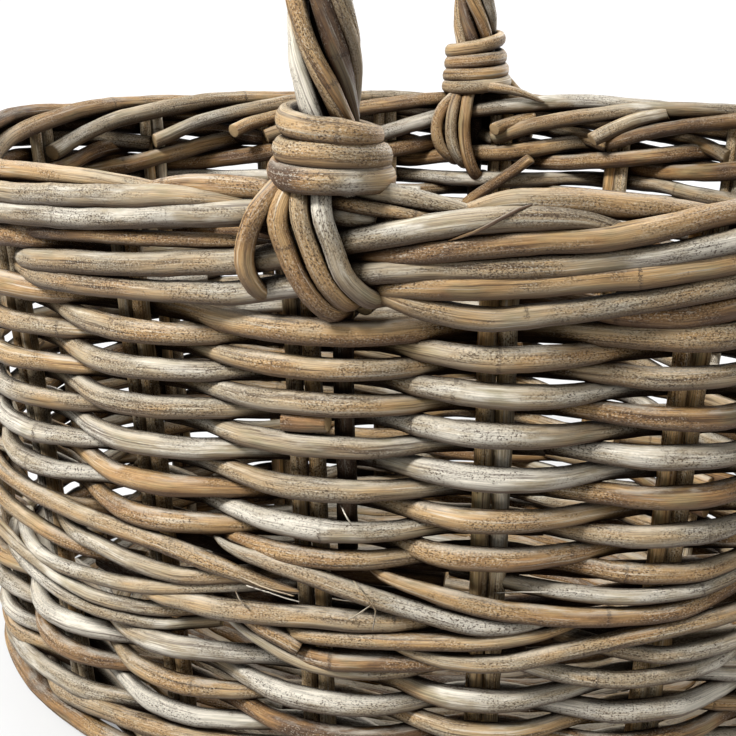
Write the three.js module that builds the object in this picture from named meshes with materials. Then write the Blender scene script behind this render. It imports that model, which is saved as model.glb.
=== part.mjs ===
// Rattan shopping basket: an oval woven basket with one fixed arch handle across its short axis.
// Millimetres, +Z up, +X along the oval, the front towards -Y, the origin in the middle of the underside.

import * as THREE from 'three';

// Oval and wall
const rimHalfLength = 225;
const rimHalfWidth = 164;
const wallFlare = 0.078;

// Clearances: beside each other, and one above the other
const sideGap = 0.35;
const courseGap = 0.4;

// Base: rounds woven over and under its spokes, from the stakes inward to a flat middle
const baseThickness = 9;
const baseMiddleHalfWidth = 30;
const baseRoundPitch = 6.5;
const baseRoundWave = 1.1;
const baseGrooveDepth = 3.1;
const footDiameter = 9;

// Stakes: upright canes in pairs
const pairsEachSide = 9;
const stakeDiameter = 6.8;
const stakeSpacing = 6.6;
const stakeFootGap = 0.4;

// Woven canes of the wall
const sidingDiameter = 7.2;
const waleDiameter = 6.6;
const middleWaleDiameter = 7;
const footWaleRows = 3;
const lowerSidingRows = 5;
const middleWaleRows = 6;
const upperSidingRows = 13;
const topWaleRows = 3;
const sidingCanes = 2;
const waleCanes = 3;

// Border
const borderOuterRows = 2;
const borderDiameter = 7;
const borderTopDiameter = 7.6;
const borderTopRise = 5.5;
const borderInnerDiameter = 8.4;

// Handle
const bowDiameter = 6.2;
const bowDepth = 130;
const bowPairGap = 5.1;
const legPlace = 4.6;
const legHeight = 55;
const handleRise = 175;
const handleLean = THREE.MathUtils.degToRad(4);
const strandCount = 5;
const strandDiameter = 7;
const strandCoreGap = 0.65;
const strandPitch = 135;

// Collars: a flattened cane wound round each leg
const frontCollarCaneHeight = 8.2;
const backCollarCaneHeight = 6.6;
const collarCaneThickness = 6.2;
const collarTurnGap = 0.7;
const collarSpread = 3.2;
const frontCollarTurns = 3;
const backCollarTurns = 4;

// Ties: places of their canes from the middle of the leg, at the top and at the lower end
const tieDiameter = 6.4;
const outerTieTops = [-21, -13.8, -6.6, 0.6];
const outerTieEnds = [-24.5, -8.5, 0, 8.5];
const innerTieTops = [0.4, 7.6, 14.8];
const innerTieEnds = [2, 11, 20];

// Fineness of the canes
const caneSides = 5;
const bowSides = 6;
const tieSides = 6;
const strandSteps = 50;
const archSteps = 14;
const collarLoopSteps = 24;
const collarSides = 6;
const halfRimSteps = 18;

const up = new THREE.Vector3(0, 0, 1);
const handlePlaneNormal = new THREE.Vector3(1, 0, 0);
const stakeCount = 2 * pairsEachSide;
const coreRadius = Math.max(stakeDiameter, bowDiameter) / 2;
const pairHalfWidth = (stakeSpacing + stakeDiameter) / 2;
const bendMargin = 0.8;
const pairReach = pairHalfWidth + bendMargin;
const bowFromPair = pairHalfWidth + bowPairGap + bowDiameter / 2;
const bowReach = bowFromPair + bowDiameter / 2 + bendMargin;
const firstPairPlace = legPlace - bowFromPair;

// Bands of the wall, each resting on the one below

function makeBand(bottom, rows, diameter) {
  const pitch = diameter + courseGap;
  return {
    rows,
    diameter,
    rowHeight: (row) => bottom + (row + 0.5) * pitch,
    top: bottom + rows * pitch,
  };
}

const footHeight = stakeFootGap + footDiameter / 2;
const wallStart = Math.max(baseThickness, footHeight + footDiameter / 2);
const footWale = makeBand(wallStart, footWaleRows, waleDiameter);
const lowerSiding = makeBand(footWale.top, lowerSidingRows, sidingDiameter);
const middleWale = makeBand(lowerSiding.top, middleWaleRows, middleWaleDiameter);
const upperSiding = makeBand(middleWale.top, upperSidingRows, sidingDiameter);
const topWale = makeBand(upperSiding.top, topWaleRows, waleDiameter);
const borderOuter = makeBand(topWale.top, borderOuterRows, borderDiameter);
const borderUpperHeight = borderOuter.rowHeight(borderOuterRows - 1);
const borderTopHeight = borderUpperHeight + borderTopRise;
const stakeTop = borderTopHeight - borderTopDiameter / 2 - sideGap;
const rimTop = borderTopHeight + borderTopDiameter / 2;

// Points of the oval wall

function wallPoint(angle, height, offset = 0, along = 0) {
  const inset = wallFlare * (rimTop - height);
  const halfLength = rimHalfLength - inset;
  const halfWidth = rimHalfWidth - inset;
  const outward = new THREE.Vector3(Math.cos(angle) / halfLength, Math.sin(angle) / halfWidth, 0);
  outward.normalize();
  const onward = new THREE.Vector3(-outward.y, outward.x, 0);
  const point = new THREE.Vector3(halfLength * Math.cos(angle), halfWidth * Math.sin(angle), height);
  return point.addScaledVector(outward, offset).addScaledVector(onward, along);
}

const frontAngle = -Math.PI / 2;
const ovalSamples = 3600;
const ovalDistances = [0];
for (let sample = 1; sample <= ovalSamples; sample += 1) {
  const before = wallPoint(frontAngle + ((sample - 1) / ovalSamples) * 2 * Math.PI, rimTop);
  const after = wallPoint(frontAngle + (sample / ovalSamples) * 2 * Math.PI, rimTop);
  ovalDistances.push(ovalDistances[sample - 1] + before.distanceTo(after));
}
const ovalLength = ovalDistances[ovalSamples];

// Angle at a distance along the rim, counter-clockwise from the middle of the front
function angleAtDistance(distance) {
  const wrapped = THREE.MathUtils.euclideanModulo(distance, ovalLength);
  const sample = ovalDistances.findIndex((reached) => reached >= wrapped);
  return frontAngle + (sample / ovalSamples) * 2 * Math.PI;
}

const stakeDistance = ovalLength / stakeCount;
const stakeAngles = [];
for (let stake = 0; stake < stakeCount; stake += 1) {
  stakeAngles.push(angleAtDistance(stake * stakeDistance + firstPairPlace));
}

function isBesideBow(stake) {
  return stake % pairsEachSide === 0;
}

// Solids: an outline swept along points, closed at both ends or joined to a ring

function roundOutline(diameter, sides) {
  return ovalOutline(diameter, diameter, sides);
}

function ovalOutline(width, height, sides) {
  const outline = [];
  for (let corner = 0; corner < sides; corner += 1) {
    const turn = (corner / sides) * 2 * Math.PI + Math.PI / 2;
    outline.push(new THREE.Vector2((width / 2) * Math.cos(turn), (height / 2) * Math.sin(turn)));
  }
  return outline;
}

function sweptRings(points, outline, reference, isRing) {
  const last = points.length - 1;
  return points.map((point, index) => {
    const before = index > 0 ? points[index - 1] : isRing ? points[last] : point;
    const after = index < last ? points[index + 1] : isRing ? points[0] : point;
    const arriving = point.clone().sub(before).normalize();
    const leaving = after.clone().sub(point).normalize();
    const tangent = arriving.add(leaving).normalize();
    const side = new THREE.Vector3().crossVectors(tangent, reference).normalize();
    const top = new THREE.Vector3().crossVectors(side, tangent);
    return outline.map((corner) =>
      point.clone().addScaledVector(side, corner.x).addScaledVector(top, corner.y));
  });
}

function sweep(points, outline, reference, isRing = false) {
  const rings = sweptRings(points, outline, reference, isRing);
  const sides = outline.length;
  const positions = rings.flat().flatMap((corner) => corner.toArray());
  const indices = [];
  const ringCount = rings.length;
  const spans = isRing ? ringCount : ringCount - 1;
  for (let span = 0; span < spans; span += 1) {
    const near = span * sides;
    const far = ((span + 1) % ringCount) * sides;
    for (let corner = 0; corner < sides; corner += 1) {
      const next = (corner + 1) % sides;
      indices.push(near + corner, far + corner, far + next);
      indices.push(near + corner, far + next, near + next);
    }
  }
  if (!isRing) {
    addCap(positions, indices, points[0], 0, sides, true);
    addCap(positions, indices, points[ringCount - 1], (ringCount - 1) * sides, sides, false);
  }
  const geometry = new THREE.BufferGeometry();
  geometry.setAttribute('position', new THREE.Float32BufferAttribute(positions, 3));
  geometry.setIndex(indices);
  geometry.computeVertexNormals();
  return geometry;
}

function addCap(positions, indices, middle, firstCorner, sides, facesBack) {
  const middleIndex = positions.length / 3;
  positions.push(...middle.toArray());
  for (let corner = 0; corner < sides; corner += 1) {
    const here = firstCorner + corner;
    const next = firstCorner + ((corner + 1) % sides);
    if (facesBack) {
      indices.push(middleIndex, here, next);
    } else {
      indices.push(middleIndex, next, here);
    }
  }
}

// Materials, one for each kind of cane

const finishes = {
  base: { color: 0x8f7658, roughness: 0.75 },
  stake: { color: 0x86694a, roughness: 0.7 },
  siding: { color: 0x9b8b74, roughness: 0.65 },
  wale: { color: 0xa98a5e, roughness: 0.65 },
  border: { color: 0x8c7a63, roughness: 0.65 },
  handle: { color: 0xa2875f, roughness: 0.6 },
  collar: { color: 0x937f66, roughness: 0.6 },
  tie: { color: 0xb09a78, roughness: 0.65 },
};

const group = new THREE.Group();

function addPiece(name, geometry, finish) {
  const material = new THREE.MeshStandardMaterial({ ...finishes[finish], metalness: 0 });
  const mesh = new THREE.Mesh(geometry, material);
  mesh.name = name;
  group.add(mesh);
}

// Base panel, an oval inside the ring of stakes, with a spoke at each of them. Its rounds show as ridges on
// both faces, each high at one spoke and low at the next. A profile goes outward over the top face and back
// inward over the underside.
function basePanelProfile(spoke, rounds) {
  const upper = [{ inward: rounds * baseRoundPitch, height: baseThickness }];
  const lower = [{ inward: rounds * baseRoundPitch, height: 0 }];
  for (let round = rounds - 1; round >= 0; round -= 1) {
    const drop = (spoke + round) % 2 === 0 ? 0 : 2 * baseRoundWave;
    const ridge = (round + 0.5) * baseRoundPitch;
    upper.push({ inward: ridge, height: baseThickness - drop });
    lower.push({ inward: ridge, height: 2 * baseRoundWave - drop });
    upper.push({ inward: round * baseRoundPitch, height: baseThickness - baseGrooveDepth });
    lower.push({ inward: round * baseRoundPitch, height: baseGrooveDepth });
  }
  return upper.concat(lower.reverse());
}

function addBasePanel() {
  const edgeInset = coreRadius + sideGap;
  const halfLength = rimHalfLength - wallFlare * rimTop - edgeInset;
  const halfWidth = rimHalfWidth - wallFlare * rimTop - edgeInset;
  const rounds = Math.round((halfWidth - baseMiddleHalfWidth) / baseRoundPitch);
  const profileLength = basePanelProfile(0, rounds).length;
  const positions = [];
  const middleOutline = [];
  for (let spoke = 0; spoke < stakeCount; spoke += 1) {
    const edge = wallPoint(stakeAngles[spoke], 0, -edgeInset);
    const points = basePanelProfile(spoke, rounds).map(({ inward, height }) => (
      [edge.x * (1 - inward / halfLength), edge.y * (1 - inward / halfWidth), height]));
    positions.push(...points.flat());
    middleOutline.push(new THREE.Vector2(points[0][0], points[0][1]));
  }
  const indices = [];
  const last = profileLength - 1;
  const at = (spoke, place) => (spoke % stakeCount) * profileLength + place;
  for (let spoke = 0; spoke < stakeCount; spoke += 1) {
    for (let place = 0; place < last; place += 1) {
      indices.push(at(spoke, place), at(spoke, place + 1), at(spoke + 1, place + 1));
      indices.push(at(spoke, place), at(spoke + 1, place + 1), at(spoke + 1, place));
    }
  }
  for (const [first, second, third] of THREE.ShapeUtils.triangulateShape(middleOutline, [])) {
    indices.push(at(first, 0), at(second, 0), at(third, 0));
    indices.push(at(third, last), at(second, last), at(first, last));
  }
  const geometry = new THREE.BufferGeometry();
  geometry.setAttribute('position', new THREE.Float32BufferAttribute(positions, 3));
  geometry.setIndex(indices);
  geometry.computeVertexNormals();
  addPiece('base_panel', geometry, 'base');
}

// Stake pair, two canes side by side up the wall
function addStakePair(stake) {
  const radius = stakeDiameter / 2;
  const outline = [];
  for (const half of [1, -1]) {
    const middle = (half * stakeSpacing) / 2;
    for (const degrees of [-90, -45, 0, 45, 90]) {
      const turn = THREE.MathUtils.degToRad(degrees);
      const across = middle + half * radius * Math.cos(turn);
      outline.push(new THREE.Vector2(across, half * radius * Math.sin(turn)));
    }
    outline.push(new THREE.Vector2(0, (half * radius) / 2));
  }
  const angle = stakeAngles[stake];
  const bottom = wallPoint(angle, stakeFootGap);
  const top = wallPoint(angle, stakeTop);
  const outward = wallPoint(angle, rimTop / 2, 1).sub(wallPoint(angle, rimTop / 2));
  const number = String(stake + 1).padStart(2, '0');
  addPiece(`stake_pair_${number}`, sweep([bottom, top], outline, outward), 'stake');
}

// Points where a cane crosses a stake pair, on the side that it passes
function crossingPoints(stake, height, side, diameter, bothBends) {
  const angle = stakeAngles[stake % stakeCount];
  const offset = side * (coreRadius + sideGap + diameter / 2);
  if (side > 0 || bothBends || isBesideBow(stake)) {
    const reachOn = isBesideBow(stake) ? bowReach : pairReach;
    return [wallPoint(angle, height, offset, -pairReach), wallPoint(angle, height, offset, reachOn)];
  }
  const dip = (pairHalfWidth * 2 * offset) / (stakeDistance - pairReach);
  return [wallPoint(angle, height, offset + dip)];
}

// A cane that keeps to one side of every stake pair, joined to a ring
function ringCane(height, side, diameter) {
  const points = [];
  for (let stake = 0; stake < stakeCount; stake += 1) {
    points.push(...crossingPoints(stake, height, side, diameter, true));
  }
  return sweep(points, roundOutline(diameter, caneSides), up, true);
}

// A woven cane. The canes of a band start in turn round the oval. Each runs level as far as the start
// of the next one, steps up over it and goes on, so that the band stays level at its foot and its top.
const firstStepStake = Math.ceil(pairsEachSide / 2);

function wovenCane(band, caneCount, cane, passesOutside) {
  const sectorStart = (sector) => firstStepStake + Math.round((sector * stakeCount) / caneCount);
  const points = [];
  for (let row = 0; row < band.rows; row += 1) {
    const sector = cane + row;
    for (let stake = sectorStart(sector); stake < sectorStart(sector + 1); stake += 1) {
      const isFirst = row === 0 && stake === sectorStart(sector);
      const isLast = row === band.rows - 1 && stake === sectorStart(sector + 1) - 1;
      const side = passesOutside(stake, cane) ? 1 : -1;
      points.push(...crossingPoints(stake, band.rowHeight(row), side, band.diameter, isFirst || isLast));
    }
  }
  return sweep(points, roundOutline(band.diameter, caneSides), up);
}

// Siding: two canes, each outside every second stake pair, counted from countFrom
function addSiding(name, band, countFrom) {
  const passesOutside = (stake, cane) => (stake + cane - countFrom) % sidingCanes !== 0;
  for (let cane = 0; cane < sidingCanes; cane += 1) {
    addPiece(`${name}_cane_${cane + 1}`, wovenCane(band, sidingCanes, cane, passesOutside), 'siding');
  }
}

// Wale: three canes, each outside two stake pairs and inside the third
function addWale(name, band) {
  const passesOutside = (stake, cane) => (stake + cane) % waleCanes !== 0;
  for (let cane = 0; cane < waleCanes; cane += 1) {
    addPiece(`${name}_cane_${cane + 1}`, wovenCane(band, waleCanes, cane, passesOutside), 'wale');
  }
}

function addBorder() {
  addPiece('border_outer_lower', ringCane(borderOuter.rowHeight(0), 1, borderDiameter), 'border');
  addPiece('border_outer_upper', ringCane(borderUpperHeight, 1, borderDiameter), 'border');
  const innerHeight = topWale.top + courseGap + borderInnerDiameter / 2;
  addPiece('border_inner', ringCane(innerHeight, -1, borderInnerDiameter), 'border');
  addBorderTop('border_top_right', 0);
  addBorderTop('border_top_left', ovalLength / 2);
}

// The top row of the border runs from one leg of the handle to the other
function addBorderTop(name, startDistance) {
  const legClearance = bowDiameter / 2 + sideGap;
  const span = ovalLength / 2 - 2 * legClearance;
  const points = [];
  for (let step = 0; step <= halfRimSteps; step += 1) {
    const distance = startDistance + legPlace + legClearance + (step / halfRimSteps) * span;
    points.push(wallPoint(angleAtDistance(distance), borderTopHeight));
  }
  addPiece(name, sweep(points, roundOutline(borderTopDiameter, caneSides), up), 'border');
}

// Handle: its middle line goes from legPlace beyond the middle of the front to as far beyond the middle of
// the back, and leans a little towards -X above the rim

const front = -1;
const back = 1;
const shoulderHeight = rimTop + legHeight;
const quarterArcHandle = 0.5523;

function hoopPoint(y, height) {
  const lean = Math.max(0, height - rimTop) * Math.tan(handleLean);
  const aside = (-y / rimHalfWidth) * legPlace;
  return new THREE.Vector3(aside - lean, y, height);
}

function legPoint(side, height) {
  const flare = wallFlare * (height - rimTop);
  return hoopPoint(side * (rimHalfWidth + flare), height);
}

function archQuarter(side) {
  const topHeight = rimTop + handleRise;
  const rise = quarterArcHandle * (topHeight - shoulderHeight);
  const shoulder = legPoint(side, shoulderHeight);
  const shoulderHandle = legPoint(side, shoulderHeight + rise);
  const topHandle = hoopPoint(shoulder.y * quarterArcHandle, topHeight);
  return new THREE.CubicBezierCurve3(shoulder, shoulderHandle, topHandle, hoopPoint(0, topHeight));
}

function reversed(curve) {
  return new THREE.CubicBezierCurve3(curve.v3, curve.v2, curve.v1, curve.v0);
}

const strandRadius = bowDiameter / 2 + strandCoreGap + strandDiameter / 2;
const collarFlatDepth = (collarCaneThickness / 2) * Math.cos(Math.PI / collarSides);
const collarTopRadius = strandRadius + strandDiameter / 2 + sideGap + collarFlatDepth;
const tallerCollarCane = Math.max(frontCollarCaneHeight, backCollarCaneHeight);
const tallerCollarPitch = tallerCollarCane + collarTurnGap;
const collarEndDip = (tallerCollarCane * tallerCollarPitch) / (2 * Math.PI * collarTopRadius);
const collarBase = rimTop + courseGap + collarEndDip;
const strandSlope = Math.atan((2 * Math.PI * strandRadius) / strandPitch);

// The stretch of the hoop with twisted canes, clear of the rim below their slanting ends
function twistedLength() {
  const start = collarBase + (strandDiameter / 2) * Math.sin(strandSlope + handleLean);
  const path = new THREE.CurvePath();
  path.add(new THREE.LineCurve3(legPoint(front, start), legPoint(front, shoulderHeight)));
  path.add(archQuarter(front));
  path.add(reversed(archQuarter(back)));
  path.add(new THREE.LineCurve3(legPoint(back, shoulderHeight), legPoint(back, start)));
  return path;
}

function addBow() {
  const points = [];
  points.push(legPoint(front, rimTop - bowDepth), legPoint(front, rimTop), legPoint(front, shoulderHeight));
  points.push(...archQuarter(front).getSpacedPoints(archSteps).slice(1));
  points.push(...reversed(archQuarter(back)).getSpacedPoints(archSteps).slice(1));
  points.push(legPoint(back, rimTop), legPoint(back, rimTop - bowDepth));
  addPiece('handle_bow', sweep(points, roundOutline(bowDiameter, bowSides), handlePlaneNormal), 'handle');
}

// Canes twisted round the bow, a left-handed helix
function addStrand(strand) {
  const path = twistedLength();
  const length = path.getLength();
  const points = [];
  for (let step = 0; step <= strandSteps; step += 1) {
    const share = step / strandSteps;
    const middle = path.getPointAt(share);
    const tangent = path.getTangentAt(share);
    const outward = new THREE.Vector3().crossVectors(tangent, handlePlaneNormal).normalize();
    const sideways = new THREE.Vector3().crossVectors(outward, tangent);
    const turn = 2 * Math.PI * (strand / strandCount - (share * length) / strandPitch);
    middle.addScaledVector(sideways, strandRadius * Math.cos(turn));
    points.push(middle.addScaledVector(outward, strandRadius * Math.sin(turn)));
  }
  const geometry = sweep(points, roundOutline(strandDiameter, caneSides), handlePlaneNormal);
  addPiece(`handle_strand_${strand + 1}`, geometry, 'handle');
}

// Collar: one flattened cane wound upwards round a leg, wider at its foot. Both ends run straight.
function collarPoints(side, turns, handedness, caneHeight) {
  const steps = turns * collarLoopSteps;
  const points = [];
  for (let step = 0; step <= steps; step += 1) {
    const turned = step / collarLoopSteps;
    const height = collarBase + caneHeight / 2 + turned * (caneHeight + collarTurnGap);
    const radius = collarTopRadius + collarSpread * (1 - step / steps);
    const angle = handedness * 2 * Math.PI * turned + Math.PI / 2;
    const middle = legPoint(side, height);
    middle.x += radius * Math.cos(angle);
    middle.y += radius * Math.sin(angle);
    points.push(middle);
  }
  points.unshift(straightEnd(points[0], points[1], caneHeight));
  points.push(straightEnd(points[points.length - 1], points[points.length - 2], caneHeight));
  return points;
}

function straightEnd(end, beforeEnd, length) {
  const direction = end.clone().sub(beforeEnd).normalize();
  return end.clone().addScaledVector(direction, length);
}

// Least distance between points on the surface of two turns of a winding
function leastSelfGap(rings) {
  const halfTurn = collarLoopSteps / 2;
  let least = Infinity;
  for (let here = 0; here < rings.length; here += 1) {
    for (let there = here + halfTurn; there < rings.length; there += 1) {
      for (const cornerHere of rings[here]) {
        for (const cornerThere of rings[there]) {
          least = Math.min(least, cornerHere.distanceTo(cornerThere));
        }
      }
    }
  }
  return least;
}

function addCollar(name, side, turns, handedness, caneHeight) {
  const points = collarPoints(side, turns, handedness, caneHeight);
  const outline = ovalOutline(collarCaneThickness, caneHeight, collarSides);
  addPiece(name, sweep(points, outline, up), 'collar');
  const gap = leastSelfGap(sweptRings(points, outline, up, false));
  console.log(`${name} least self gap ${gap.toFixed(2)} mm`);
}

// Ties: short canes from under the collar down beside the border to the foot of the top wale
function addTie(name, legSide, face, topPlace, endPlace, coveredDiameter) {
  const tieRadius = tieDiameter / 2;
  const overBorder = coreRadius + 2 * sideGap + coveredDiameter + tieRadius;
  const endHeight = topWale.rowHeight(0);
  const placeAt = (place, height) => {
    const distance = place + legPlace + (legSide === back ? ovalLength / 2 : 0);
    return wallPoint(angleAtDistance(distance), height, face * overBorder);
  };
  const halfWay = (topPlace + endPlace) / 2;
  const points = [
    placeAt(topPlace, rimTop),
    placeAt(topPlace, borderUpperHeight),
    placeAt(halfWay, (borderUpperHeight + endHeight) / 2),
    placeAt(endPlace, endHeight),
  ];
  addPiece(name, sweep(points, roundOutline(tieDiameter, tieSides), handlePlaneNormal), 'tie');
}

function addTies(legName, legSide) {
  outerTieTops.forEach((topPlace, tie) => {
    const name = `${legName}_outer_tie_${tie + 1}`;
    addTie(name, legSide, 1, topPlace, outerTieEnds[tie], Math.max(borderDiameter, waleDiameter));
  });
  innerTieTops.forEach((topPlace, tie) => {
    const name = `${legName}_inner_tie_${tie + 1}`;
    addTie(name, legSide, -1, topPlace, innerTieEnds[tie], Math.max(borderInnerDiameter, waleDiameter));
  });
}

addBasePanel();
addPiece('foot_ring', ringCane(footHeight, 1, footDiameter), 'base');
for (let stake = 0; stake < stakeCount; stake += 1) {
  addStakePair(stake);
}
addWale('foot_wale', footWale);
addSiding('lower_siding', lowerSiding, 1);
addWale('middle_wale', middleWale);
addSiding('upper_siding', upperSiding, 0);
addWale('top_wale', topWale);
addBorder();
addBow();
for (let strand = 0; strand < strandCount; strand += 1) {
  addStrand(strand);
}
addCollar('front_collar', front, frontCollarTurns, -1, frontCollarCaneHeight);
addCollar('back_collar', back, backCollarTurns, 1, backCollarCaneHeight);
addTies('front', front);
addTies('back', back);

export default group;
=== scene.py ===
"""Looks of the rattan shopping basket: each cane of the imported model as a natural, weathered one.

Metres, in the model's own frame. A place on the oval wall is given by three numbers: the distance along the
rim counter-clockwise from the middle of the front, the height, and the offset outward from the wall's middle.
"""

import math
import random
from types import SimpleNamespace

import bpy
import numpy as np
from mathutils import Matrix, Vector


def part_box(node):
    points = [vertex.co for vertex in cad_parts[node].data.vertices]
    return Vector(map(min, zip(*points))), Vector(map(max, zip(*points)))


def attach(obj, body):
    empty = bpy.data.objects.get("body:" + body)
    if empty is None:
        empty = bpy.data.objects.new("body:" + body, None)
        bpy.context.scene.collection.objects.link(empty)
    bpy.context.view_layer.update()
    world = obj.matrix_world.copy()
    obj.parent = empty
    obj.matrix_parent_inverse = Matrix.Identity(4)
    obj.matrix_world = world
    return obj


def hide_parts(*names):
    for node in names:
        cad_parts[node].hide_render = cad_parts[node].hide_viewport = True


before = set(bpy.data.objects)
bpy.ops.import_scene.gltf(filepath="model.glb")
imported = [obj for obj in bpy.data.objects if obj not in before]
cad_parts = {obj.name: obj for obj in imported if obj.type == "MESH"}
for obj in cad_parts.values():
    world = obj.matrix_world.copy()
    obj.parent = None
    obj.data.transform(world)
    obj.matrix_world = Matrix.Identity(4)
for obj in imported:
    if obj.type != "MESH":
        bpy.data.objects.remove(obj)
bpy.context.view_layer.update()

MM = 0.001
UPWARD = np.array([0, 0, 1.0])
ALONG_X = np.array([1.0, 0, 0])

# Driving sizes of the oval wall, as in the model
HALF_LENGTH = 225 * MM
HALF_WIDTH = 164 * MM
FLARE = 0.078
RIM_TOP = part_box("border_top_left")[1].z
STAKE_COUNT = 18
FIRST_PAIR_PLACE = -10.3 * MM
LEG_PLACE = 4.6 * MM
STAKE_WIDTH = 6.8 * MM
STAKE_SPACING = 6.7 * MM

# Base, from the stakes inward: rounds woven over and under spokes, then a middle of crossed rods
BASE_ROUNDS = 17
BASE_PITCH = 6.5 * MM
BASE_FIRST_INSET = 7 * MM
BASE_REACH = 4.6 * MM
BASE_WAVE = 1.1 * MM
BASE_ROUND_WIDTH = 6.8 * MM
BASE_SPOKE_WIDTH = 3.4 * MM
BASE_ROD_WIDTH = 6.4 * MM
BASE_ROD_TUCK = 4 * MM
BASE_INNER_INSET = FLARE * RIM_TOP + BASE_FIRST_INSET + (BASE_ROUNDS - 0.5) * BASE_PITCH
MIDDLE_HALF_LENGTH = HALF_LENGTH - BASE_INNER_INSET
MIDDLE_HALF_WIDTH = HALF_WIDTH - BASE_INNER_INSET
FOOT_WIDTH = 9 * MM

# Woven canes: thick where they pass a stake, thinner where they cross each other
SIDING_HEIGHT = 8.4 * MM
SIDING_WIDTH = 7.4 * MM
WALE_HEIGHT = 9.2 * MM
WALE_WIDTH = 7.2 * MM
BORDER_HEIGHT = 8.4 * MM
BORDER_WIDTH = 7.8 * MM
WEAVE_OFFSET = 7.7 * MM
PAIR_REACH = 5.8 * MM
BOW_REACH = 18.8 * MM

# Handle
HANDLE_LEAN = math.radians(4)
LEG_HEIGHT = 55 * MM
LEG_DEPTH = 130 * MM
STRAND_FOOT = 3 * MM
STRAND_WIDTH = 7.6 * MM
STRAND_RADIUS = 7.25 * MM
STRAND_PITCH = 135 * MM
FIRST_STRAND_TURN = math.radians(12)
BOW_WIDTH = 7.6 * MM
HOOP_BELOW_TOP = 3.2 * MM
ARCH_ROUNDNESS = 0.5523
TIE_WIDTH = 7 * MM

# Fineness of the drawn canes
RING_SPACING = 3.6 * MM
SIDES = 12

# Unevenness of the canes
TONE_DRIFT = 0.09
THICKNESS_DRIFT = 0.045
SURFACE_DRIFT = 0.014
WOBBLE = 0.32 * MM
KNOT_SWELL = 0.06
KNOT_REACH = 3.2 * MM
TIP_LENGTH = 38 * MM
TIP_THICKNESS = 0.22

# Shades of the cane, from bleached over straw and amber to dark brown, as positions on one colour ramp
BLEACHED = 0.05
GREY = 0.22
BEIGE = 0.4
STRAW = 0.56
AMBER = 0.74
BROWN = 0.92

chance = random.Random(2880)
uniform = chance.uniform


# Oval wall

def unit(vectors):
    return vectors / np.linalg.norm(vectors, axis=1)[:, None]


def directions(points):
    return unit(np.gradient(points, axis=0))


def lengths_along(points):
    """The distance of each point of a path from its start."""
    steps = np.linalg.norm(np.diff(points, axis=0), axis=1)
    return np.concatenate([[0], np.cumsum(steps)])


oval_angles = np.linspace(-math.pi / 2, 1.5 * math.pi, 3601)
oval_distances = lengths_along(
    np.column_stack([HALF_LENGTH * np.cos(oval_angles), HALF_WIDTH * np.sin(oval_angles)])
)
OVAL_LENGTH = oval_distances[-1]
STAKE_STEP = OVAL_LENGTH / STAKE_COUNT


def oval_angle(distance):
    return np.interp(np.mod(distance, OVAL_LENGTH), oval_distances, oval_angles)


def stake_place(stake):
    return stake * STAKE_STEP + FIRST_PAIR_PLACE


def wall_places(places):
    """Points and outward directions of places on the wall, each a distance, a height and an offset."""
    places = np.asarray(places, float)
    angle = oval_angle(places[:, 0])
    inset = FLARE * (RIM_TOP - places[:, 1])
    half_length = HALF_LENGTH - inset
    half_width = HALF_WIDTH - inset
    level = np.zeros(len(angle))
    outward = unit(np.column_stack([np.cos(angle) / half_length, np.sin(angle) / half_width, level]))
    points = np.column_stack([half_length * np.cos(angle), half_width * np.sin(angle), places[:, 1]])
    return points + places[:, 2:3] * outward, outward


def smooth_path(route, spacing=RING_SPACING):
    """Even points along a smooth curve through the places of a route."""
    route = np.asarray(route, float)
    chords = np.linalg.norm(np.diff(route, axis=0), axis=1)
    knots = lengths_along(route)
    slopes = np.gradient(route, knots, axis=0)
    at = np.linspace(0, knots[-1], max(3, round(knots[-1] / spacing)) + 1)
    span = np.clip(np.searchsorted(knots, at, side="right") - 1, 0, len(chords) - 1)
    chord = chords[span][:, None]
    share = ((at - knots[span]) / chords[span])[:, None]
    here, there = route[span], route[span + 1]
    bend = share * share * (3 - 2 * share)
    leaving = share * (1 - share) ** 2 * chord * slopes[span]
    arriving = share * share * (share - 1) * chord * slopes[span + 1]
    return here + bend * (there - here) + leaving + arriving


def wave(at, wavelength):
    """Smooth irregular variation along a cane, about from -1 to 1."""
    total = np.zeros_like(at)
    for share, strength in ((1, 0.6), (0.47, 0.3), (0.21, 0.15)):
        total += strength * np.sin(math.tau * at / (wavelength * share) + uniform(0, math.tau))
    return total


# Canes as meshes

def add_object(name, data):
    added = bpy.data.objects.new(name, data)
    bpy.context.scene.collection.objects.link(added)
    return added


class Piece:
    """The canes that one object holds, until build() turns them into a mesh."""

    def __init__(self):
        self.faces = []
        self.count = 0
        self.canes = []

    def add(self, rings, grain, tint, knot):
        """Adds a cane: its rings of points, and the values that its material reads at them."""
        count, sides = rings.shape[:2]
        self.faces.extend(tube_faces(self.count, count, sides))
        self.count += count * sides
        by_point = [values.reshape(-1, 3) for values in (rings, grain, tint)]
        self.canes.append(by_point + [np.repeat(knot, sides)])

    def build(self, name, slot, node):
        points, grain, tint, knot = (np.concatenate(values) for values in zip(*self.canes))
        mesh = bpy.data.meshes.new(name)
        mesh.from_pydata(points.tolist(), [], self.faces)
        for key, kind, field, values in (
            ("grain", "FLOAT_VECTOR", "vector", grain),
            ("tint", "FLOAT_VECTOR", "vector", tint),
            ("knot", "FLOAT", "value", knot),
        ):
            attribute = mesh.attributes.new(key, kind, "POINT")
            attribute.data.foreach_set(field, values.astype(np.float32).ravel())
        mesh.shade_smooth()
        mesh.materials.append(materials[slot])
        piece = add_object(name, mesh)
        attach(piece, "root")
        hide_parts(node)


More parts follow.
